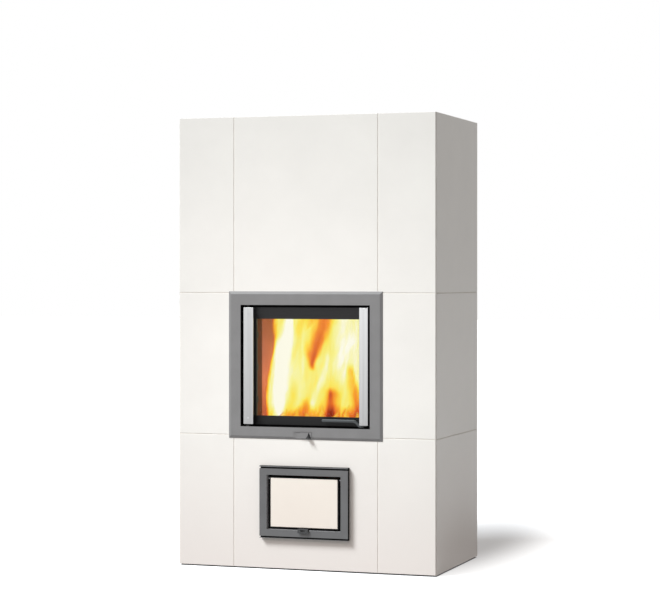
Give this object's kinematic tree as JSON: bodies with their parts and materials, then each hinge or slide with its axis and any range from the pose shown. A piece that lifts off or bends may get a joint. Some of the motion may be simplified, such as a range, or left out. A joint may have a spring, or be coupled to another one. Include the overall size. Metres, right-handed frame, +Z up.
{
  "type": "tiled stove",
  "caption": "Free-standing ceramic-clad heat-storing wood stove with a glazed fire door, an air control and an ash door flap over a pan.",
  "frame": {"origin": "centre of the clad body's footprint, on the floor", "axes": "+X to the stove's right seen from the front, +Y towards the back, +Z up; the doors face -Y"},
  "size_m": [0.86, 0.513, 1.435],
  "materials": {
    "white_glaze": "gloss white glaze, slightly warm",
    "rear_render": "plain unglazed slab",
    "joint_mortar": "fine joint mortar",
    "storage_concrete": "cast storage concrete",
    "firebrick": "chamotte",
    "insulation_board": "calcium silicate board",
    "grey_iron": "grey stove lacquer",
    "black_iron": "black stove lacquer",
    "handle_iron": "dark lacquered lever",
    "black_sheet": "black heat-proof paint",
    "zinc_sheet": "bright sheet steel",
    "bright_steel": "turned steel",
    "brushed_strip": "brushed stainless",
    "glass": "clear glass ceramic",
    "rope": "woven glass-fibre rope"
  },
  "bodies": {
    "root": {"base_plate": "black_sheet", "base_slab": "storage_concrete", "rear_slabs": "rear_render", "cover_slab": "white_glaze", "tile_joint_mortar": "joint_mortar", "lintel_bar": "black_sheet", "tile_clips": "zinc_sheet", "frame_anchors": "zinc_sheet", "core_side_walls": "storage_concrete", "core_rear_wall": "storage_concrete", "channel_front_walls": "storage_concrete", "core_top_slab": "storage_concrete", "top_insulation": "insulation_board", "flue_sleeve": "black_sheet", "ash_chamber_bricks": "storage_concrete", "hearth_bricks": "firebrick", "grate": "black_iron", "firebox_walls": "firebrick", "firebox_jambs": "firebrick", "firebox_lintel": "firebrick", "baffle_slab": "firebrick", "upper_chamber_walls": "firebrick", "fire_door_frame": "grey_iron", "fire_door_hinge_pins": "bright_steel", "latch_keeper": "black_iron", "air_slide_rails": "black_sheet", "ash_door_frame": "grey_iron", "ash_door_pins": "bright_steel", "ash_door_seal": "rope", "front_tile_lower_centre": "white_glaze", "front_tile_upper_centre": "white_glaze", "front_tile_lower_left": "white_glaze", "side_tile_lower_left": "white_glaze", "front_tile_lower_right": "white_glaze", "side_tile_lower_right": "white_glaze", "front_tile_middle_left": "white_glaze", "side_tile_middle_left": "white_glaze", "front_tile_middle_right": "white_glaze", "side_tile_middle_right": "white_glaze", "front_tile_upper_left": "white_glaze", "side_tile_upper_left": "white_glaze", "front_tile_upper_right": "white_glaze", "side_tile_upper_right": "white_glaze"},
    "fire_door": {"fire_door_leaf": "black_iron", "fire_door_glass": "glass", "glass_gasket": "rope", "glass_clips": "zinc_sheet", "door_screws": "bright_steel", "door_strip_left": "brushed_strip", "door_strip_right": "brushed_strip", "fire_door_rope_seal": "rope"},
    "door_handle": {"door_handle": "handle_iron", "latch_finger": "bright_steel", "spindle_nut": "bright_steel"},
    "air_slide": {"air_slide_plate": "zinc_sheet", "air_control_lever": "grey_iron"},
    "ash_door": {"ash_door_leaf": "black_sheet", "ash_door_tile": "white_glaze", "ash_door_pull": "grey_iron"},
    "ash_pan": {"ash_pan": "black_sheet"}
  },
  "joints": [
    {"name": "fire_door_hinge", "type": "hinge", "parent": "root", "child": "fire_door", "pos_m": [-0.196, -0.236, 0.644], "axis": [0, 0, -1], "range_deg": [0, 110]},
    {"name": "door_handle_turn", "type": "hinge", "parent": "fire_door", "child": "door_handle", "pos_m": [0.199, -0.232, 0.466], "axis": [0, 1, 0], "range_deg": [0, 40]},
    {"name": "air_slide_travel", "type": "slide", "parent": "root", "child": "air_slide", "axis": [-1, 0, 0], "range_m": [0, 0.011]},
    {"name": "ash_door_hinge", "type": "hinge", "parent": "root", "child": "ash_door", "pos_m": [0, -0.2455, 0.2885], "axis": [-1, 0, 0], "range_deg": [0, 95]},
    {"name": "ash_pan_slide", "type": "slide", "parent": "root", "child": "ash_pan", "axis": [0, -1, 0], "range_m": [0, 0.2]}
  ],
  "couplings": [
    {"joint": "ash_pan_slide", "follows": "ash_door_hinge", "m_per_rad": 0.12}
  ]
}
